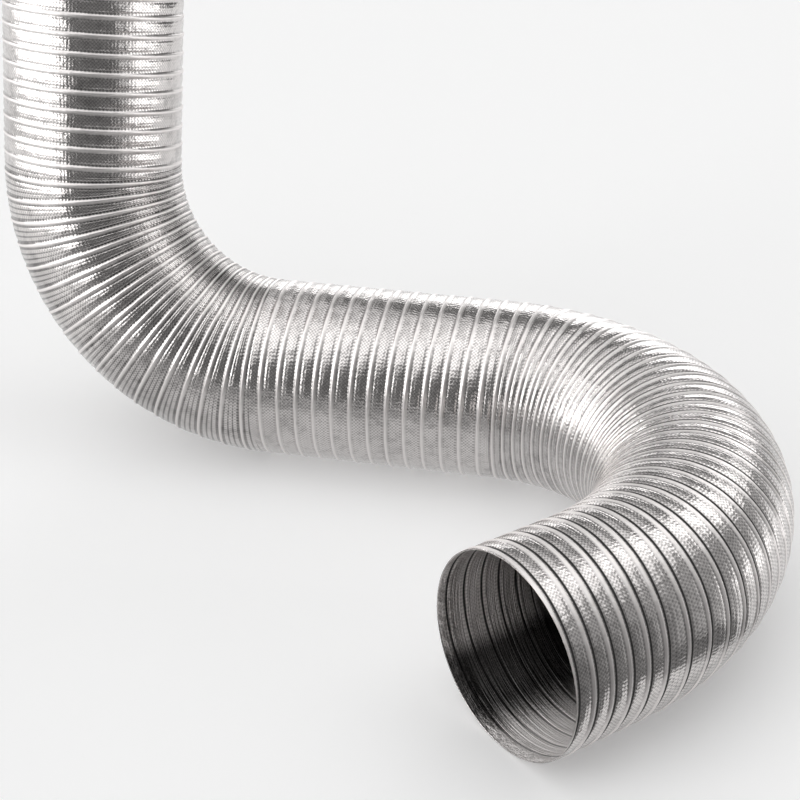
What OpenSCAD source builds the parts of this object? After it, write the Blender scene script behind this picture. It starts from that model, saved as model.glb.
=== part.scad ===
// A semi-rigid flexible air duct: one thin aluminium strip wound into a tube, each turn
// folded into the next along a raised lock seam. The mouth, a wide bend and a straight
// run lie on the floor, and a second bend lifts the duct into an upright leg.
//
// The duct is drawn as a chain of stretches, named from the mouth to the end of the leg.
// Stiff stretches are joined by folds: a few turns whose fine corrugations close up or
// open out when the duct is bent, pulled or pushed together.

/* [Duct] */
// Inside diameter, the size of the spigot that the ends slip over
duct_bore = 125; // [110:1:140]
// Depth of the finely corrugated wall, from its inner crests to its outer ones
wall = 0.8; // [0.6:0.1:1.2]
// Length of duct that one turn of the strip takes up
turn_pitch = 13; // [12:0.25:14]
// Gap between one stretch and the next, so that each can turn freely
stretch_gap = 0.3; // [0.2:0.05:0.5]

/* [Lock seam] */
// Width of the folded seam, measured along the duct
seam_width = 4; // [3:0.25:5]
// How far the seam stands out of the wall
seam_height = 0.8; // [0.7:0.05:1.2]
// Height of the seam's upright edges, below its sloping shoulders
seam_edge = 0.25; // [0.2:0.05:0.4]
// Depth to which the seams are flattened where the duct lies on the floor
floor_flat = 0.5; // [0.3:0.05:0.6]

/* [Bends] */
// Radius of the floor bend near the mouth, to the middle of the duct
near_radius = 180; // [160:4:220]
// Radius of the floor bend near the straight run
far_radius = 146; // [142:2:170]
// Radius of the bend that lifts the duct off the floor
riser_radius = 140; // [124:2:150]
// How far the leg leans back from upright, in degrees
riser_lean = 11; // [0:1:12]

/* [Turns in the folds] */
// Turns that give way in each fold that bends
bend_folds = 4; // [3:1:5]
// Turns that open and close in the straight run
run_folds = 5; // [3:1:7]
// Turns that open and close in the leg
leg_folds = 6; // [4:1:8]

/* [Turns in the stiff stretches] */
// Straight end at the mouth
mouth_turns = 5; // [4:1:8]
// Short neck between the mouth's two folds
neck_turns = 3; // [2:1:4]
// First part of the tighter floor bend
near_bend_turns = 3; // [2:1:4]
// Second part of the tighter floor bend
far_bend_turns = 6; // [5:1:7]
// Each half of the straight run
run_turns = 4; // [3:1:6]
// Middle of the bend that lifts the duct
riser_turns = 9; // [7:1:10]
// Each short straight part of the leg, below and above its sideways fold
leg_part_turns = 3; // [2:1:4]
// Straight end of the leg
leg_end_turns = 8; // [6:1:10]

/* [Hidden] */

straight = 0;
level = 0;
upward = 90 + riser_lean;

// Each stretch: its name, its turns, its bend radius, and the side that it bends to, in
// degrees round the duct from level left
route = [
    ["mouth_end", mouth_turns, straight, level],
    ["mouth_swing_folds", bend_folds, near_radius, level],
    ["mouth_neck", neck_turns, near_radius, level],
    ["mouth_nod_folds", bend_folds, near_radius, level],
    ["near_bend", near_bend_turns, far_radius, level],
    ["mid_bend_folds", bend_folds, far_radius, level],
    ["far_bend", far_bend_turns, far_radius, level],
    ["run_swing_folds", bend_folds, far_radius, level],
    ["run_near", run_turns, straight, level],
    ["run_stretch_folds", run_folds, straight, level],
    ["run_far", run_turns, straight, level],
    ["riser_foot_folds", bend_folds, riser_radius, upward],
    ["riser_bend", riser_turns, riser_radius, upward],
    ["riser_head_folds", bend_folds, riser_radius, upward],
    ["leg_foot", leg_part_turns, straight, level],
    ["leg_sway_folds", bend_folds, straight, level],
    ["leg_middle", leg_part_turns, straight, level],
    ["leg_stretch_folds", leg_folds, straight, level],
    ["leg_end", leg_end_turns, straight, level]
];
stretches = [0:len(route) - 1];

bore_r = duct_bore / 2;
wall_r = bore_r + wall;
seam_r = wall_r + seam_height;
floor_to_axis = seam_r - floor_flat;

function turns_in(k) = route[k][1];
function bend_radius(k) = route[k][2];
function bend_side(k) = route[k][3];
function stretch_length(k) = turns_in(k) * turn_pitch;
function wall_length(k) = stretch_length(k) - stretch_gap;
function bend_angle(k, s) = bend_radius(k) == straight ? 0 : s / bend_radius(k) * 180 / PI;

function shift_by(v) = [[1, 0, 0, v.x], [0, 1, 0, v.y], [0, 0, 1, v.z], [0, 0, 0, 1]];
function turn_y(a) = [[cos(a), 0, sin(a), 0], [0, 1, 0, 0], [-sin(a), 0, cos(a), 0], [0, 0, 0, 1]];
function turn_z(a) = [[cos(a), -sin(a), 0, 0], [sin(a), cos(a), 0, 0], [0, 0, 1, 0], [0, 0, 0, 1]];

// The frame at a distance s along stretch k, seen from the stretch's own start. The duct
// runs along its own z, with its own x to the left and its own y up
function bent_by(r, a) = shift_by([r * (1 - cos(a)), 0, r * sin(a)]) * turn_y(a);
function along(k, s) = bend_radius(k) == straight
    ? shift_by([0, 0, s])
    : turn_z(bend_side(k)) * bent_by(bend_radius(k), bend_angle(k, s)) * turn_z(-bend_side(k));

// The mouth is turned so that the straight run points along -X
function floor_bends() = [for (k = stretches) if (bend_side(k) == level) bend_angle(k, stretch_length(k))];
function total(v, i = 0) = i == len(v) ? 0 : v[i] + total(v, i + 1);
mouth_frame = shift_by([0, 0, floor_to_axis])
    * turn_z(180 - total(floor_bends()))
    * [[0, 0, 1, 0], [1, 0, 0, 0], [0, 1, 0, 0], [0, 0, 0, 1]];
function start_of(k) = k == 0 ? mouth_frame : start_of(k - 1) * along(k - 1, stretch_length(k - 1));
starts = [for (k = stretches) start_of(k)];

// The part's box, found from the rims of sections at every half turn, so that the
// origin can sit on the floor below the middle of the part
sections = [
    for (k = stretches)
        for (i = [0:2 * turns_in(k)])
            starts[k] * along(k, i * turn_pitch / 2)
];
function rim_reach(m, axis) = wall_r * sqrt(max(0, 1 - pow(m[axis][2], 2)));
function low_side(axis) = min([for (m = sections) m[axis][3] - rim_reach(m, axis)]);
function high_side(axis) = max([for (m = sections) m[axis][3] + rim_reach(m, axis)]);
function middle(axis) = (low_side(axis) + high_side(axis)) / 2;
to_origin = shift_by([-middle(0), -middle(1), 0]);

$fn = 96;
seam_sink = wall / 2;
floor_block = [for (axis = [0:2]) 2 * (high_side(axis) - low_side(axis))];

module placed(k, s = 0) {
    multmatrix(to_origin * starts[k] * along(k, s)) children();
}

module above_floor() {
    difference() {
        children();
        translate([-floor_block.x / 2, -floor_block.y / 2, -floor_block.z])
            cube(floor_block);
    }
}

// The seam's section: upright edges, sloping shoulders and a flat crest. Its foot is
// sunk into the wall
module seam_section() {
    foot = seam_width / 2;
    crest = foot - (seam_height - seam_edge);
    polygon([
        [wall_r - seam_sink, -foot],
        [wall_r + seam_edge, -foot],
        [seam_r, -crest],
        [seam_r, crest],
        [wall_r + seam_edge, foot],
        [wall_r - seam_sink, foot]
    ]);
}

// A straight stretch is one turned shape, wall and seams together
module straight_stretch(k) {
    placed(k)
        rotate_extrude() {
            translate([bore_r, stretch_gap / 2])
                square([wall, wall_length(k)]);
            for (i = [0:turns_in(k) - 1])
                translate([0, (i + 0.5) * turn_pitch])
                    seam_section();
        }
}

// A bend's wall is swept about an axis that lies a radius away on the duct's own x
module bent_wall(radius, angle) {
    multmatrix([[-1, 0, 0, radius], [0, 0, 1, 0], [0, 1, 0, 0], [0, 0, 0, 1]])
        rotate_extrude(angle = angle)
            translate([radius, 0])
                difference() {
                    circle(r = wall_r);
                    circle(r = bore_r);
                }
}

module bent_stretch(k) {
    placed(k, stretch_gap / 2)
        rotate(bend_side(k))
            bent_wall(bend_radius(k), bend_angle(k, wall_length(k)));
    for (i = [0:turns_in(k) - 1])
        above_floor()
            placed(k, (i + 0.5) * turn_pitch)
                rotate_extrude()
                    seam_section();
}

// One stretch of the strip, with a seam in the middle of each turn
module stretch(name) {
    k = search([name], route)[0];
    if (bend_radius(k) == straight)
        above_floor()
            straight_stretch(k);
    else
        bent_stretch(k);
}

module mouth_end() {
    color("silver") stretch("mouth_end");
}

module mouth_swing_folds() {
    color("gainsboro") stretch("mouth_swing_folds");
}

module mouth_neck() {
    color("silver") stretch("mouth_neck");
}

module mouth_nod_folds() {
    color("gainsboro") stretch("mouth_nod_folds");
}

module near_bend() {
    color("silver") stretch("near_bend");
}

module mid_bend_folds() {
    color("gainsboro") stretch("mid_bend_folds");
}

module far_bend() {
    color("silver") stretch("far_bend");
}

module run_swing_folds() {
    color("gainsboro") stretch("run_swing_folds");
}

module run_near() {
    color("silver") stretch("run_near");
}

module run_stretch_folds() {
    color("gainsboro") stretch("run_stretch_folds");
}

module run_far() {
    color("silver") stretch("run_far");
}

module riser_foot_folds() {
    color("gainsboro") stretch("riser_foot_folds");
}

module riser_bend() {
    color("silver") stretch("riser_bend");
}

module riser_head_folds() {
    color("gainsboro") stretch("riser_head_folds");
}

module leg_foot() {
    color("silver") stretch("leg_foot");
}

module leg_sway_folds() {
    color("gainsboro") stretch("leg_sway_folds");
}

module leg_middle() {
    color("silver") stretch("leg_middle");
}

module leg_stretch_folds() {
    color("gainsboro") stretch("leg_stretch_folds");
}

module leg_end() {
    color("silver") stretch("leg_end");
}

mouth_end();
mouth_swing_folds();
mouth_neck();
mouth_nod_folds();
near_bend();
mid_bend_folds();
far_bend();
run_swing_folds();
run_near();
run_stretch_folds();
run_far();
riser_foot_folds();
riser_bend();
riser_head_folds();
leg_foot();
leg_sway_folds();
leg_middle();
leg_stretch_folds();
leg_end();
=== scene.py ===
import math
import bpy
import numpy as np
from mathutils import Matrix, Vector


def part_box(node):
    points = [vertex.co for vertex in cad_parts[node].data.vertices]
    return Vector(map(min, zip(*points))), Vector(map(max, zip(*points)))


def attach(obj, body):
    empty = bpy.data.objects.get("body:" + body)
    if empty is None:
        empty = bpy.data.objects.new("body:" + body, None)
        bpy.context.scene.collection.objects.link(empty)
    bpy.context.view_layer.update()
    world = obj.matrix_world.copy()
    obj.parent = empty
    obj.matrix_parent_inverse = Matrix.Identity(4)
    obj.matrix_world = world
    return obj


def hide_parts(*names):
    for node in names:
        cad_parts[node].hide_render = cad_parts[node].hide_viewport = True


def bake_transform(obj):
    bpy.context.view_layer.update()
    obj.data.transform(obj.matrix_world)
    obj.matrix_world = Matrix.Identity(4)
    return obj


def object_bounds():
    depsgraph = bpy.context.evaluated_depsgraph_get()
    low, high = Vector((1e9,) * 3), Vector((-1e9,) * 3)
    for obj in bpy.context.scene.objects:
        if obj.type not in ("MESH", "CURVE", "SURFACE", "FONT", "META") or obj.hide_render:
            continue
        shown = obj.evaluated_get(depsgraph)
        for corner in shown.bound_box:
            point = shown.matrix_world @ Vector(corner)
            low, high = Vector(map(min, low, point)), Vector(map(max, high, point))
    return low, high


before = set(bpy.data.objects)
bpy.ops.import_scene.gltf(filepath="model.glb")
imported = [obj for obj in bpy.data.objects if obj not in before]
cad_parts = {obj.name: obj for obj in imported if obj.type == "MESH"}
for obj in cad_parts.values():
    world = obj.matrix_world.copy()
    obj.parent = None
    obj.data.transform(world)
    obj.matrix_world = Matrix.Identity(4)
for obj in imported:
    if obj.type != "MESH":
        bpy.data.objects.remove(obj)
cad_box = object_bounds()

# A semi-rigid air duct, wound from one aluminium strip. Each stretch of it is one closed
# shell: an outer and an inner face that follow the strip's corrugations and its lock seam,
# which winds round the whole duct as one helix.

MM = 0.001

# The duct
BORE_RADIUS = 62.5 * MM
WALL = 0.8 * MM
SEAM_STANDS = 0.8 * MM
FLOOR_FLAT = 0.5 * MM
PITCH = 13.0 * MM
WALL_RADIUS = BORE_RADIUS + WALL
SEAM_RADIUS = WALL_RADIUS + SEAM_STANDS

# The route, from the mouth to the end of the leg
STRAIGHT = 0.0
NEAR_RADIUS = 180.0 * MM
FAR_RADIUS = 146.0 * MM
RISER_RADIUS = 140.0 * MM
RISER_LEAN = 11.0
LEVEL = 0.0
UPWARD = 90.0 + RISER_LEAN

# Each stretch: its name, its turns, its bend radius, the side that it bends to in degrees,
# and the body that it rides on, or the two bodies that its folds join
STRETCHES = [
    ("mouth_end", 5, STRAIGHT, LEVEL, ["mouth"]),
    ("mouth_swing_folds", 4, NEAR_RADIUS, LEVEL, ["mouth", "neck"]),
    ("mouth_neck", 3, NEAR_RADIUS, LEVEL, ["neck"]),
    ("mouth_nod_folds", 4, NEAR_RADIUS, LEVEL, ["neck", "bend_entry"]),
    ("near_bend", 3, FAR_RADIUS, LEVEL, ["bend_entry"]),
    ("mid_bend_folds", 4, FAR_RADIUS, LEVEL, ["bend_entry", "base_bend"]),
    ("far_bend", 6, FAR_RADIUS, LEVEL, ["base_bend"]),
    ("run_swing_folds", 4, FAR_RADIUS, LEVEL, ["base_bend", "run_start"]),
    ("run_near", 4, STRAIGHT, LEVEL, ["run_start"]),
    ("run_stretch_folds", 5, STRAIGHT, LEVEL, ["run_start", "run_end"]),
    ("run_far", 4, STRAIGHT, LEVEL, ["run_end"]),
    ("riser_foot_folds", 4, RISER_RADIUS, UPWARD, ["run_end", "riser"]),
    ("riser_bend", 9, RISER_RADIUS, UPWARD, ["riser"]),
    ("riser_head_folds", 4, RISER_RADIUS, UPWARD, ["riser", "leg_base"]),
    ("leg_foot", 3, STRAIGHT, LEVEL, ["leg_base"]),
    ("leg_sway_folds", 4, STRAIGHT, LEVEL, ["leg_base", "leg_mid"]),
    ("leg_middle", 3, STRAIGHT, LEVEL, ["leg_mid"]),
    ("leg_stretch_folds", 6, STRAIGHT, LEVEL, ["leg_mid", "leg_top"]),
    ("leg_end", 8, STRAIGHT, LEVEL, ["leg_top"]),
]

# The strip's section, across one turn. The strip climbs gently to the seam's round crest and
# drops behind it, on the side away from the mouth, into a narrow groove
SEAM_CLIMB = 2.9 * MM
SEAM_DROP = 1.6 * MM
SEAM_SHORT_OF_BOX = 0.2 * MM
LEAST_CLEARANCE = 0.02 * MM
GROOVE_PLACE = 2.6 * MM
GROOVE_WIDTH = 1.05 * MM
GROOVE_FLOOR = BORE_RADIUS + 0.12 * MM
BAND_RADIUS = BORE_RADIUS + 0.60 * MM
BAND_CLIMB = 0.30 * MM
BAND_BULGE = 0.35 * MM
STRIP_THICKNESS = 0.35 * MM
DENTS = 0.5 * MM
# The seam's place in a turn, as a share of the turn
SEAM_SHIFT = 0.5

# Corrugations between two seams. A bend works them deeper, and the riser's most of all
CORRUGATIONS = 3
CORRUGATION_HEIGHT = 0.035 * MM
WORKED_BY_FLOOR_BEND = 1.2
WORKED_BY_RISER = 6.0
LEAST_OPENING = 0.7
MOST_OPENING = 1.4

# How far from the mouth the duct is pulled open, and how far its seams show their grooves
PULLED_OPEN = 90.0 * MM
PUSHED_TOGETHER = 200.0 * MM
SEAMS_OPEN = 180.0 * MM
SEAMS_CLOSED = 380.0 * MM
CLOSED_GROOVE = 0.2

# The cut edge at an open end wanders by this much
EDGE_WAVINESS = 1.2 * MM

# Fine marks in the strip. The inner face is rougher, most of all beside the mouth's cut edge
PLEATS_ROUND = 156
PLEAT_HEIGHT = 0.02 * MM
CRUMPLE_HEIGHT = 0.6 * MM
CRUMPLE_AT_CUT = 3.4 * MM
ROLLING_HEIGHT = 0.02 * MM
ROLLING_HEIGHT_INSIDE = 0.7 * MM

# How finely the shells are made. The inner face is finer where an open end shows it
ROUND = 168
ACROSS_TURN = 36
INSIDE_TURN = 12
INSIDE_TURN_AT_ENDS = 24
TURNS_SEEN_IN_MOUTH = 16
MERGE_DISTANCE = 0.004 * MM


# ---------------------------------------------------------------- node trees


class Value:
    """A socket in a node tree, on which sums make Math nodes."""

    def __init__(self, nodes, socket):
        self.nodes = nodes
        self.socket = socket

    def math(self, operation, *others):
        return self.nodes.add(
            "ShaderNodeMath", {"operation": operation}, dict(enumerate([self, *others]))
        )

    def __add__(self, other):
        return self.math("ADD", other)

    def __sub__(self, other):
        return self.math("SUBTRACT", other)

    def __mul__(self, other):
        return self.math("MULTIPLY", other)

    def __truediv__(self, other):
        return self.math("DIVIDE", other)

    def __pow__(self, other):
        return self.math("POWER", other)

    def __neg__(self):
        return self * -1.0

    def __radd__(self, other):
        return self + other

    def __rmul__(self, other):
        return self * other

    def __rsub__(self, other):
        return -self + other

    def __rtruediv__(self, other):
        return self.nodes.add("ShaderNodeMath", {"operation": "DIVIDE"}, {0: other, 1: self})

    def __mod__(self, other):
        return self.math("FLOORED_MODULO", other)

    def least(self, other):
        return self.math("MINIMUM", other)

    def most(self, other):
        return self.math("MAXIMUM", other)

    def between(self, low, high):
        return self.most(low).least(high)

    def step(self, low, high):
        """0 below low, 1 above high, and smooth in between."""
        return self.nodes.add(
            "ShaderNodeMapRange",
            {"interpolation_type": "SMOOTHSTEP"},
            {"Value": self, "From Min": low, "From Max": high},
        )


class Nodes:
    """Adds nodes to one tree."""

    def __init__(self, tree):
        self.tree = tree
        tree.nodes.clear()

    def add(self, kind, settings=None, inputs=None, out=0):
        """A node of that kind: its settings are set first, then its sockets."""
        node = self.tree.nodes.new(kind)
        for name, value in (settings or {}).items():
            setattr(node, name, value)
        for name, value in (inputs or {}).items():
            self.put(node.inputs[name], value)
        if out is None:
            return node
        return Value(self, node.outputs[out])

    def put(self, socket, value):
        if isinstance(value, Value):
            self.tree.links.new(value.socket, socket)
        else:
            socket.default_value = value

    def vector(self, x, y, z):
        return self.add("ShaderNodeCombineXYZ", None, {0: x, 1: y, 2: z})

    def parts(self, vector):
        node = self.add("ShaderNodeSeparateXYZ", None, {0: vector}, None)
        return [Value(self, socket) for socket in node.outputs]

    def vector_math(self, operation, *values):
        return self.add("ShaderNodeVectorMath", {"operation": operation}, dict(enumerate(values)))

    def scaled(self, vector, factor):
        return self.add(
            "ShaderNodeVectorMath", {"operation": "SCALE"}, {"Vector": vector, "Scale": factor}
        )

    def noise(self, vector, scale, detail=2.0, roughness=0.5):
        """Noise from 0 to 1 that varies over lengths of about 1 / scale."""
        return self.add(
            "ShaderNodeTexNoise",
            {"noise_dimensions": "3D"},
            {"Vector": vector, "Scale": scale, "Detail": detail, "Roughness": roughness},
        )


# ---------------------------------------------------------------- the route


def turned_about_up(degrees):
    return Matrix.Rotation(math.radians(degrees), 4, "Z")


def along(radius, side, distance):
    """The duct's own frame after that distance: x to the left, y up and z along the duct."""
    if radius == STRAIGHT:
        return Matrix.Translation((0.0, 0.0, distance))
    angle = distance / radius
    shift = Matrix.Translation((radius * (1.0 - math.cos(angle)), 0.0, radius * math.sin(angle)))
    bent = shift @ Matrix.Rotation(angle, 4, "Y")
    return turned_about_up(side) @ bent @ turned_about_up(-side)


def stretch_starts():
    """The frame at the start of each stretch, and at the end of the last."""
    floor_turn = sum(
        math.degrees(turns * PITCH / radius)
        for _, turns, radius, side, _ in STRETCHES
        if radius != STRAIGHT and side == LEVEL
    )
    forward_left_up = Matrix(((0, 0, 1, 0), (1, 0, 0, 0), (0, 1, 0, 0), (0, 0, 0, 1)))
    here = (
        Matrix.Translation((0.0, 0.0, SEAM_RADIUS - FLOOR_FLAT))
        @ turned_about_up(180.0 - floor_turn)
        @ forward_left_up
    )
    starts = {}
    for name, turns, radius, side, _ in STRETCHES:
        starts[name] = here
        here = here @ along(radius, side, turns * PITCH)
    starts["end"] = here
    low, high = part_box("run_near")
    run = starts["run_near"].translation
    to_frame = Matrix.Translation((high.x - run.x, (low.y + high.y) / 2 - run.y, 0.0))
    return {name: to_frame @ start for name, start in starts.items()}


# ---------------------------------------------------------------- the duct's shell

# The shell's inputs: each has a kind, and is named as the tree's user sees it
SHELL_INPUTS = [
    ("Turns", "Float"),
    ("Turns Before", "Float"),
    ("Pitch", "Float"),
    ("Bend Radius", "Float"),
    ("Bend Side", "Float"),
    ("Start", "Vector"),
    ("Left", "Vector"),
    ("Up", "Vector"),
    ("Along", "Vector"),
    ("Lowest", "Vector"),
    ("Highest", "Vector"),
    ("Points Round", "Int"),
    ("Points Outside", "Int"),
    ("Points Inside", "Int"),
    ("Corrugation Depth", "Float"),
    ("Start Waviness", "Float"),
    ("End Waviness", "Float"),
    ("Material", "Material"),
]


def shell_tree():
    """A stretch of corrugated duct: a sheet rolled up and closed on itself, so that its one
    side is the outer face, its other side the inner face, and its edges the two rims."""
    tree = bpy.data.node_groups.new("corrugated_duct", "GeometryNodeTree")
    n = Nodes(tree)
    for name, kind in SHELL_INPUTS:
        tree.interface.new_socket(name, in_out="INPUT", socket_type="NodeSocket" + kind)
    tree.interface.new_socket("Duct", in_out="OUTPUT", socket_type="NodeSocketGeometry")
    group = n.add("NodeGroupInput", None, None, None)
    given = {name: Value(n, group.outputs[name]) for name, _ in SHELL_INPUTS}

    outside = given["Points Outside"]
    inside = given["Points Inside"]
    loop = outside + inside + 2.0
    sheet = n.add(
        "GeometryNodeMeshGrid",
        None,
        {
            "Size X": 1.0,
            "Size Y": 1.0,
            "Vertices X": loop + 1.0,
            "Vertices Y": given["Points Round"] + 1.0,
        },
    )
    at_x, at_y, _ = n.parts(n.add("GeometryNodeInputPosition"))
    step = ((at_x + 0.5) * loop).math("ROUND")
    angle = (at_y + 0.5) * math.tau

    # Which face a point is on, and how far along the stretch
    on_outside = step.math("LESS_THAN", outside + 0.5).most(step.math("GREATER_THAN", loop - 0.5))
    share_outside = (step / outside).between(0.0, 1.0) * step.math("LESS_THAN", loop - 0.5)
    share_inside = ((loop - 1.0 - step) / inside).between(0.0, 1.0)
    share = on_outside * share_outside + (1.0 - on_outside) * share_inside
    length = given["Turns"] * given["Pitch"]
    distance = share * length
    at_start = share.math("LESS_THAN", 0.0001)
    at_finish = share.math("GREATER_THAN", 0.9999)

    # The strip, unrolled: its place round and along the whole duct
    whole_distance = distance + given["Turns Before"] * given["Pitch"]
    flat = n.vector(
        angle.math("COSINE") * WALL_RADIUS, angle.math("SINE") * WALL_RADIUS, whole_distance
    )

    # How much a bend opens or closes the turns here
    from_side = angle - given["Bend Side"]
    is_bent = given["Bend Radius"].math("GREATER_THAN", 0.0001)
    safe_radius = given["Bend Radius"].most(0.001)
    opening = 1.0 - is_bent * from_side.math("COSINE") * WALL_RADIUS / safe_radius
    gentle_opening = opening.between(LEAST_OPENING, MOST_OPENING)

    # The section: distances past the nearest seam, in real lengths. Where a bend opens the
    # turns, the strip between the seams takes it up, and the seam keeps its width
    turn = whole_distance / given["Pitch"] + angle / math.tau
    past_seam = ((turn + (0.5 - SEAM_SHIFT)) % 1.0 - 0.5) * given["Pitch"]
    seam_place = past_seam * gentle_opening
    band_start = GROOVE_PLACE / gentle_opening
    band_end = given["Pitch"] - SEAM_CLIMB / gentle_opening
    past_last = (turn - SEAM_SHIFT) % 1.0 * given["Pitch"]
    band_share = ((past_last - band_start) / (band_end - band_start)).between(0.0, 1.0)
    # The corrugations, which a bend works deeper, on a band that bulges and climbs
    uneven = n.noise(flat, 60.0, 2.0)
    uneven_height = n.noise(flat, 160.0, 2.0)
    ripple = -(band_share * (math.tau * CORRUGATIONS)).math("COSINE")
    worked = 1.0 + given["Corrugation Depth"] * (opening - 1.0).math("ABSOLUTE").least(0.5)
    ripples = ripple * CORRUGATION_HEIGHT * (0.6 + 0.8 * uneven_height) * worked
    bulge = 4.0 * band_share * (1.0 - band_share) * BAND_BULGE
    climb = (band_share - 0.5) * BAND_CLIMB + bulge
    # The groove behind the seam closes up along the duct
    groove_share = (seam_place - GROOVE_PLACE) / GROOVE_WIDTH
    seam_open = 1.0 - whole_distance.step(SEAMS_OPEN, SEAMS_CLOSED)
    groove_depth = CLOSED_GROOVE + (1.0 - CLOSED_GROOVE) * seam_open
    groove = (-(groove_share * groove_share)).math("EXPONENT") * groove_depth
    # The seam's crest, which the corrugations fade out on and whose height varies a little
    climbing = seam_place.math("LESS_THAN", 0.0)
    crest_share = seam_place / (climbing * SEAM_CLIMB + (1.0 - climbing) * SEAM_DROP)
    crest = (1.0 - crest_share * crest_share).most(0.0) ** 2.0
    seam_rise = SEAM_RADIUS - BAND_RADIUS - SEAM_SHORT_OF_BOX
    band = BAND_RADIUS + (climb + ripples) * (1.0 - crest)
    outer = band + crest * seam_rise * (0.9 + 0.2 * uneven).least(1.0)
    outer = outer * (1.0 - groove) + groove * GROOVE_FLOOR
    inner = BAND_RADIUS - STRIP_THICKNESS + ripples * 0.6 * (1.0 - crest)
    inner = inner * (1.0 - groove) + groove * BORE_RADIUS
    dent = (uneven - 0.5) * DENTS
    radius = on_outside * outer + (1.0 - on_outside) * inner + dent
    radius = radius.least(SEAM_RADIUS - LEAST_CLEARANCE)

    # The cut edge at an open end wanders a little
    edge = n.noise(flat, 420.0, 3.0)
    cut_back = at_start * given["Start Waviness"] - at_finish * given["End Waviness"]
    distance = distance + cut_back * edge

    # Bent round to its place
    inward = radius * from_side.math("COSINE")
    sideways = radius * from_side.math("SINE")
    bend_angle = distance / safe_radius
    arm = safe_radius - inward
    bent_in = safe_radius - arm * bend_angle.math("COSINE")
    bent_on = arm * bend_angle.math("SINE")
    in_now = is_bent * bent_in + (1.0 - is_bent) * inward
    on_now = is_bent * bent_on + (1.0 - is_bent) * distance
    side_cos = given["Bend Side"].math("COSINE")
    side_sin = given["Bend Side"].math("SINE")
    left_now = in_now * side_cos - sideways * side_sin
    up_now = in_now * side_sin + sideways * side_cos
    place = n.vector_math(
        "ADD",
        n.vector_math("ADD", given["Start"], n.scaled(given["Left"], left_now)),
        n.vector_math("ADD", n.scaled(given["Up"], up_now), n.scaled(given["Along"], on_now)),
    )
    place = n.vector_math("MAXIMUM", place, given["Lowest"])
    place = n.vector_math("MINIMUM", place, given["Highest"])

    def stored(geometry, name, kind, domain, value):
        return n.add(
            "GeometryNodeStoreNamedAttribute",
            {"data_type": kind, "domain": domain},
            {"Geometry": geometry, "Name": name, "Value": value},
        )

    made = stored(sheet, "unrolled", "FLOAT_VECTOR", "POINT", flat)
    made = stored(made, "fold_share", "FLOAT", "POINT", share)
    made = stored(made, "inner_face", "FLOAT", "POINT", 1.0 - on_outside)
    made = stored(made, "ripple", "FLOAT", "POINT", ripple * worked * (1.0 - crest))
    made = stored(made, "crest", "FLOAT", "POINT", crest)
    made = stored(made, "groove", "FLOAT", "POINT", groove * on_outside)
    made = stored(made, "on_rim", "BOOLEAN", "POINT", at_start.most(at_finish))
    cut = (cut_back / MM).math("ABSOLUTE").least(1.0)
    made = stored(made, "cut_edge", "FLOAT", "POINT", cut)
    made = n.add("GeometryNodeSetPosition", None, {"Geometry": made, "Position": place})
    made = n.add(
        "GeometryNodeMergeByDistance", None, {"Geometry": made, "Distance": MERGE_DISTANCE}
    )
    # Rolled up this way, the sheet faces into the wall, so it is turned over
    made = n.add("GeometryNodeFlipFaces", None, {"Mesh": made})
    rim = n.add("GeometryNodeInputNamedAttribute", {"data_type": "BOOLEAN"}, {"Name": "on_rim"})
    made = stored(made, "sharp_edge", "BOOLEAN", "EDGE", rim)
    made = n.add("GeometryNodeSetShadeSmooth", None, {"Geometry": made, "Shade Smooth": True})
    made = n.add("GeometryNodeRealizeInstances", None, {"Geometry": made})
    made = n.add(
        "GeometryNodeSetMaterial", None, {"Geometry": made, "Material": given["Material"]}
    )
    n.add("NodeGroupOutput", None, {"Duct": made}, None)
    return tree


def socket_names(tree):
    """The identifier of each named input of a node tree."""
    return {
        item.name: item.identifier
        for item in tree.interface.items_tree
        if item.item_type == "SOCKET" and item.in_out == "INPUT"
    }


def made_by(tree, name, values):
    """A new object with the plain mesh that the tree makes from those values."""
    piece = bpy.data.objects.new(name, bpy.data.meshes.new(name))
    bpy.context.scene.collection.objects.link(piece)
    modifier = piece.modifiers.new("duct", "NODES")
    modifier.node_group = tree
    identifiers = socket_names(tree)
    for label, value in values.items():
        modifier[identifiers[label]] = value
    bpy.context.view_layer.update()
    evaluated = piece.evaluated_get(bpy.context.evaluated_depsgraph_get())
    mesh = bpy.data.meshes.new_from_object(evaluated)
    piece.modifiers.remove(modifier)
    piece.data = mesh
    mesh.name = name
    return piece


def spread_evenly(piece):
    """Reads each point's share of the way along the stretch from the fold_share attribute."""
    count = len(piece.data.vertices)
    share = np.zeros(count, np.float32)
    piece.data.attributes["fold_share"].data.foreach_get("value", share)


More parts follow.
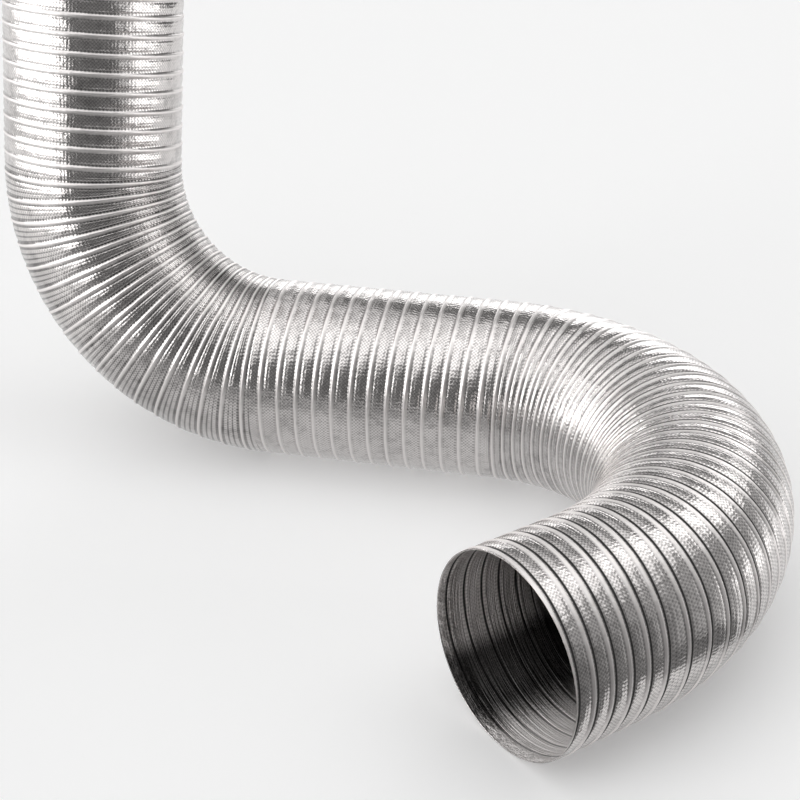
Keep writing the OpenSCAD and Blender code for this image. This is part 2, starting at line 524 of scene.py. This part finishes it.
def duct_pieces(strip, folded_strip):
    tree = shell_tree()
    starts = stretch_starts()
    turns_before = 0
    for name, turns, radius, side, bodies in STRETCHES:
        start = starts[name]
        at_mouth = name == STRETCHES[0][0]
        at_end = name == STRETCHES[-1][0]
        is_folds = len(bodies) == 2
        is_seen_inside = turns_before < TURNS_SEEN_IN_MOUTH or at_end
        inside = INSIDE_TURN_AT_ENDS if is_seen_inside else INSIDE_TURN
        piece = made_by(
            tree,
            name + "_shell",
            {
                "Turns": float(turns),
                "Turns Before": float(turns_before),
                "Pitch": PITCH,
                "Bend Radius": radius,
                "Bend Side": math.radians(side),
                "Start": start.translation,
                "Left": start.col[0].xyz,
                "Up": start.col[1].xyz,
                "Along": start.col[2].xyz,
                "Lowest": cad_box[0],
                "Highest": cad_box[1],
                "Points Round": ROUND,
                "Points Outside": ACROSS_TURN * turns,
                "Points Inside": inside * turns,
                "Corrugation Depth": WORKED_BY_RISER if side == UPWARD else WORKED_BY_FLOOR_BEND,
                "Start Waviness": EDGE_WAVINESS if at_mouth else 0.0,
                "End Waviness": EDGE_WAVINESS if at_end else 0.0,
                "Material": folded_strip if is_folds else strip,
            },
        )
        if is_folds:
            last = (start @ along(radius, side, turns * PITCH)).translation
            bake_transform(piece)
            spread_evenly(piece)
        else:
            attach(piece, bodies[0])
        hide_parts(name)
        turns_before += turns


# ---------------------------------------------------------------- materials


def material(name):
    made = bpy.data.materials.new(name)
    made.use_nodes = True
    return made, Nodes(made.node_tree)


def aluminium_strip(name):
    """Rolled strip: finely pleated between the seams, with a painted highlight on their crests,
    and painted shade in the grooves behind them and in the corrugations' valleys."""
    made, n = material(name)

    def attribute(label, out="Fac"):
        return n.add("ShaderNodeAttribute", {"attribute_name": label}, None, out)

    unrolled = attribute("unrolled", "Vector")
    is_inside = attribute("inner_face")
    crest = attribute("crest")
    groove = attribute("groove")
    ripple = attribute("ripple")
    cut_edge = attribute("cut_edge")
    x, y, distance = n.parts(unrolled)
    angle = y.math("ARCTAN2", x)
    turn = distance / PITCH + angle / math.tau
    past_seam = ((turn + (0.5 - SEAM_SHIFT)) % 1.0 - 0.5) * PITCH
    pulled_open = 1.0 - distance.step(PULLED_OPEN, PUSHED_TOGETHER)
    narrower = 0.35 * (1.0 - pulled_open)
    on_crest = crest.step(0.1 + narrower, 0.6 + narrower)
    flat = 1.0 - on_crest
    off_seam = 1.0 - crest.step(0.02, 0.3)

    # Fine pleats run along the duct, across the corrugations, and wander a little
    wander = n.noise(unrolled, 90.0, 2.0) * 5.0
    pleat = (angle * PLEATS_ROUND + wander).math("SINE")
    # Where the pleats cross the corrugations, their light and shade is painted into the tone as a
    # weave
    painted_weave_shading = (pleat * ripple.between(-1.0, 1.0)).step(-0.7, 0.7) - 0.5
    crumple = n.noise(unrolled, 130.0, 3.0, 0.6)
    # Rolling marks run round the duct, with the strip
    coarseness = 2400.0 - 1100.0 * is_inside
    rolling = n.noise(n.vector(x * 25.0, y * 25.0, distance * coarseness), 1.0, 2.0, 0.5)
    patches = n.noise(unrolled, 28.0, 3.0, 0.55)
    blotches = n.noise(unrolled, 170.0, 2.0, 0.6)

    near_cut = 1.0 - distance.step(3.0 * MM, 16.0 * MM)
    crumpling = CRUMPLE_HEIGHT + CRUMPLE_AT_CUT * near_cut * is_inside
    rolled = ROLLING_HEIGHT + ROLLING_HEIGHT_INSIDE * is_inside
    height = pleat * PLEAT_HEIGHT * off_seam + crumple * crumpling + rolling * rolled
    bumped = n.add("ShaderNodeBump", None, {"Strength": 1.0, "Distance": 1.0, "Height": height})

    # Outside: painted light and shade in a weave by the pleats, a painted highlight on the crests,
    # and painted shade in the valleys and the grooves
    painted_valley_shade = (-ripple).step(0.6, 2.0)
    shade = 0.70 + 0.26 * painted_weave_shading * off_seam + 0.18 * on_crest - 0.34 * painted_valley_shade * flat
    shade = shade - (0.14 * patches.step(0.4, 0.75) + 0.12 * blotches.step(0.45, 0.7)) * flat
    # The groove's near-black tone is painted shade behind the seam
    in_groove = groove.step(0.3, 0.8)
    shade = (shade * (1.0 - 0.95 * in_groove)).between(0.03, 0.9)

    # Inside: the seam is a dark line, the weave and the valleys are painted light and shade, and
    # painted shade darkens the strip away from the mouth
    inside_seam = 1.0 - past_seam.math("ABSOLUTE").step(0.5 * MM, 1.1 * MM)
    inside_shade = (0.90 + 0.24 * painted_weave_shading - 0.2 * painted_valley_shade) * (1.0 - 0.9 * inside_seam)
    inside_shade = inside_shade * (1.0 - 0.85 * distance.step(30.0 * MM, 100.0 * MM))
    # Painted shade lies low on the left inside the mouth, and the bottom of the mouth is rubbed
    # matt and painted paler, a painted light
    down = -y / WALL_RADIUS
    left = x / WALL_RADIUS
    painted_mouth_shade = down.step(0.38, 0.60) * left.step(0.10, 0.45)
    inside_shade = inside_shade * (1.0 - 0.86 * painted_mouth_shade)
    # The bottom's paler tone is painted light; its lower metallic is the rubbed matt finish
    matt_and_painted_light = down.step(0.2, 0.6) * (1.0 - left.step(-0.10, 0.30)) * is_inside
    matt_and_painted_light = matt_and_painted_light * (1.0 - distance.step(35.0 * MM, 95.0 * MM))
    inside_shade = (inside_shade + 0.3 * matt_and_painted_light).between(0.03, 0.95)

    # The cut edge is bare and pale
    shade = is_inside * inside_shade + (1.0 - is_inside) * shade
    shade = shade.most(0.9 * cut_edge)
    colour = n.add(
        "ShaderNodeMix",
        {"data_type": "RGBA"},
        {6: (0.0, 0.0, 0.0, 1.0), 7: (1.0, 0.960, 0.945, 1.0), 0: shade},
        2,
    )

    # Duller in patches, in the grooves, on the seams and inside. The grooves and the rubbed
    # bottom of the mouth hardly mirror at all
    roughness = 0.17 + 0.10 * patches + 0.3 * in_groove + 0.10 * (1.0 - off_seam)
    roughness = roughness + (0.14 + 0.14 * (1.0 - distance.step(50.0 * MM, 90.0 * MM))) * is_inside
    roughness = roughness + (0.08 + 0.10 * pulled_open) * on_crest * (1.0 - is_inside)
    metallic = 1.0 - (0.9 * in_groove).most(0.85 * matt_and_painted_light)
    shader = n.add(
        "ShaderNodeBsdfPrincipled",
        None,
        {
            "Base Color": colour,
            "Roughness": roughness,
            "Metallic": metallic,
            "Specular IOR Level": 0.2,
            "Normal": bumped,
        },
    )
    n.add("ShaderNodeOutputMaterial", None, {"Surface": shader}, None)
    return made


PAPER_LIFT = 0.22


def pale_floor():
    """Pale matt paper, which shows a little paler still to the eye and in the metal."""
    made, n = material("pale_floor")
    paper = n.add(
        "ShaderNodeBsdfPrincipled",
        None,
        {"Base Color": (0.82, 0.82, 0.82, 1.0), "Roughness": 0.9, "Specular IOR Level": 0.1},
    )
    rays = n.add("ShaderNodeLightPath", None, None, None)
    seen = Value(n, rays.outputs["Is Camera Ray"])
    seen = seen.most(Value(n, rays.outputs["Is Glossy Ray"]))
    seen = seen.most(Value(n, rays.outputs["Is Transmission Ray"]))
    white = (1.0, 1.0, 1.0, 1.0)
    lift = n.add("ShaderNodeEmission", None, {"Color": white, "Strength": PAPER_LIFT * seen})
    shader = n.add("ShaderNodeAddShader", None, {0: paper, 1: lift})
    n.add("ShaderNodeOutputMaterial", None, {"Surface": shader}, None)
    return made


# ---------------------------------------------------------------- camera, floor and light


def linked(name, data):
    made = bpy.data.objects.new(name, data)
    bpy.context.scene.collection.objects.link(made)
    return made


# The camera: its lens in mm, its place, and how far it looks down and to the left in degrees
LENS = 81.1
CAMERA_PLACE = (0.2610, -1.0252, 0.6654)
LOOKS_DOWN = 28.12
LOOKS_LEFT = 12.69


def camera():
    data = bpy.data.cameras.new("camera")
    data.sensor_width = 36.0
    data.lens = LENS
    data.clip_start = 0.05
    data.clip_end = 100.0
    made = linked("camera", data)
    made.location = CAMERA_PLACE
    made.rotation_euler = (math.radians(90.0 - LOOKS_DOWN), 0.0, math.radians(LOOKS_LEFT))
    bpy.context.scene.camera = made


FLOOR_HALF_WIDTH = 30.0


def floor():
    half = FLOOR_HALF_WIDTH
    mesh = bpy.data.meshes.new("floor")
    corners = [(-half, -half, 0.0), (half, -half, 0.0), (half, half, 0.0), (-half, half, 0.0)]
    mesh.from_pydata(corners, [], [(0, 1, 2, 3)])
    mesh.materials.append(pale_floor())
    linked("floor", mesh)


def direction_to(azimuth, elevation):
    """The direction at that azimuth, clockwise from straight behind the object, in degrees."""
    azimuth, elevation = math.radians(azimuth), math.radians(elevation)
    return Vector(
        (
            math.sin(azimuth) * math.cos(elevation),
            math.cos(azimuth) * math.cos(elevation),
            math.sin(elevation),
        )
    )


# The studio's soft lights: azimuth, elevation and half width in degrees, and strength
SOFT_LIGHTS = [
    (236.0, 14.0, 22.0, 2.4),
    (215.0, 62.0, 26.0, 1.1),
    (80.0, 66.0, 22.0, 0.95),
    (3.0, 15.0, 18.0, 2.1),
    (330.0, 4.0, 15.0, 1.7),
    (330.0, 66.0, 24.0, 0.5),
]
# The walls' own level, and how much paler they are where they meet the floor
STUDIO_WALLS = 0.35
PALER_LOW_DOWN = 0.45


def sky():
    world = bpy.data.worlds.new("studio")
    bpy.context.scene.world = world
    world.use_nodes = True
    n = Nodes(world.node_tree)
    direction = n.add("ShaderNodeTexCoord", None, None, "Generated")
    _, _, height = n.parts(direction)
    level = STUDIO_WALLS + PALER_LOW_DOWN * (1.0 - height.step(0.04, 0.16))
    for azimuth, elevation, half_width, strength in SOFT_LIGHTS:
        towards = n.add(
            "ShaderNodeVectorMath",
            {"operation": "DOT_PRODUCT"},
            {0: direction, 1: direction_to(azimuth, elevation)},
            "Value",
        )
        edge = math.cos(math.radians(half_width * 1.25))
        core = math.cos(math.radians(half_width * 0.55))
        level = level + strength * towards.step(edge, core) * height.step(0.02, 0.14)
    back = n.add("ShaderNodeBackground", None, {"Color": (1.0, 1.0, 1.0, 1.0), "Strength": level})
    n.add("ShaderNodeOutputWorld", None, {"Surface": back}, None)


# A card's own tone
BLACK_CARD = 0.02
WHITE_CARD = 0.9


def card(name, corners, shade, glow):
    """A card that only reflections see, such as is set up beside bright metal."""
    mesh = bpy.data.meshes.new(name)
    mesh.from_pydata(corners, [], [tuple(range(len(corners)))])
    made, n = material(name)
    shader = n.add(
        "ShaderNodeBsdfPrincipled",
        None,
        {
            "Base Color": (shade, shade, shade, 1.0),
            "Roughness": 1.0,
            "Specular IOR Level": 0.0,
            "Emission Color": (1.0, 1.0, 1.0, 1.0),
            "Emission Strength": glow,
        },
    )
    n.add("ShaderNodeOutputMaterial", None, {"Surface": shader}, None)
    mesh.materials.append(made)
    panel = linked(name, mesh)
    panel.visible_camera = False
    panel.visible_diffuse = False
    panel.visible_shadow = False


def cards():
    """Dark and pale cards round the object. The last number of each is its glow."""
    card(
        "front_card",
        [
            (-0.75, -1.6, 0.0),
            (1.9, -1.6, 0.0),
            (1.9, -1.6, 1.7),
            (0.7, -1.6, 1.7),
            (0.2, -1.6, 1.1),
            (-0.75, -1.6, 1.1),
        ],
        BLACK_CARD,
        0.13,
    )
    card(
        "right_card",
        [(0.50, -0.55, 0.0), (0.465, -0.22, 0.0), (0.465, -0.22, 0.20), (0.50, -0.55, 0.20)],
        BLACK_CARD,
        0.17,
    )
    card(
        "right_back_card",
        [(0.465, -0.22, 0.0), (0.45, -0.07, 0.0), (0.45, -0.07, 0.13), (0.465, -0.22, 0.13)],
        BLACK_CARD,
        0.36,
    )
    card(
        "leg_card",
        [
            (0.36, -0.04, 0.185),
            (0.36, 0.13, 0.185),
            (0.36, 0.17, 0.400),
            (0.36, 0.26, 1.050),
            (0.36, -0.06, 1.050),
        ],
        WHITE_CARD,
        1.15,
    )
    card(
        "bend_card",
        [
            (-0.10, 0.32, 0.300),
            (0.04, 0.32, 0.235),
            (0.10, 0.32, 0.240),
            (0.14, 0.32, 0.283),
            (0.30, 0.32, 0.283),
            (0.42, 0.32, 0.235),
            (0.42, 0.32, 0.460),
            (-0.10, 0.32, 0.460),
        ],
        BLACK_CARD,
        0.13,
    )
    card(
        "under_run_card",
        [(-0.36, -0.09, 0.001), (0.16, -0.07, 0.001), (0.16, 0.10, 0.001), (-0.28, 0.10, 0.001)],
        BLACK_CARD,
        0.60,
    )
    card(
        "near_floor_card",
        [
            (-0.44, -0.19, 0.0015),
            (-0.13, -0.33, 0.0015),
            (0.16, -0.12, 0.0015),
            (0.16, -0.07, 0.0015),
            (-0.20, -0.07, 0.0015),
            (-0.36, -0.09, 0.0015),
        ],
        BLACK_CARD,
        0.36,
    )
    card(
        "front_floor_card",
        [
            (-0.75, -1.60, 0.001),
            (1.70, -1.60, 0.001),
            (1.10, -0.45, 0.001),
            (0.50, -0.10, 0.001),
            (0.315, -0.10, 0.001),
            (0.315, -0.23, 0.001),
            (-0.13, -0.33, 0.001),
            (-0.22, -0.14, 0.001),
            (-0.42, -0.20, 0.001),
            (-0.46, -0.64, 0.001),
        ],
        BLACK_CARD,
        0.16,
    )
    card(
        "left_card",
        [
            (-0.80, -0.08, 0.16),
            (-0.46, -0.66, 0.16),
            (-0.46, -0.66, 0.48),
            (-0.72, -0.22, 0.48),
            (-0.74, -0.18, 0.80),
            (-0.88, 0.08, 0.80),
            (-0.88, 0.08, 0.16),
        ],
        WHITE_CARD,
        2.2,
    )
    card(
        "far_left_card",
        [
            (-0.88, 0.08, 0.36),
            (-0.96, 0.24, 0.36),
            (-0.96, 0.24, 1.20),
            (-0.80, -0.08, 1.20),
            (-0.80, -0.08, 0.80),
            (-0.88, 0.08, 0.80),
        ],
        WHITE_CARD,
        3.4,
    )
    card(
        "right_floor_card",
        [(0.80, -0.20, 0.002), (2.60, -1.30, 0.002), (2.60, 1.00, 0.002), (0.70, 0.55, 0.002)],
        WHITE_CARD,
        1.5,
    )


camera()
floor()
sky()
cards()
duct_pieces(aluminium_strip("rolled_strip"), aluminium_strip("folded_strip"))

bpy.context.scene.view_settings.view_transform = "Standard"
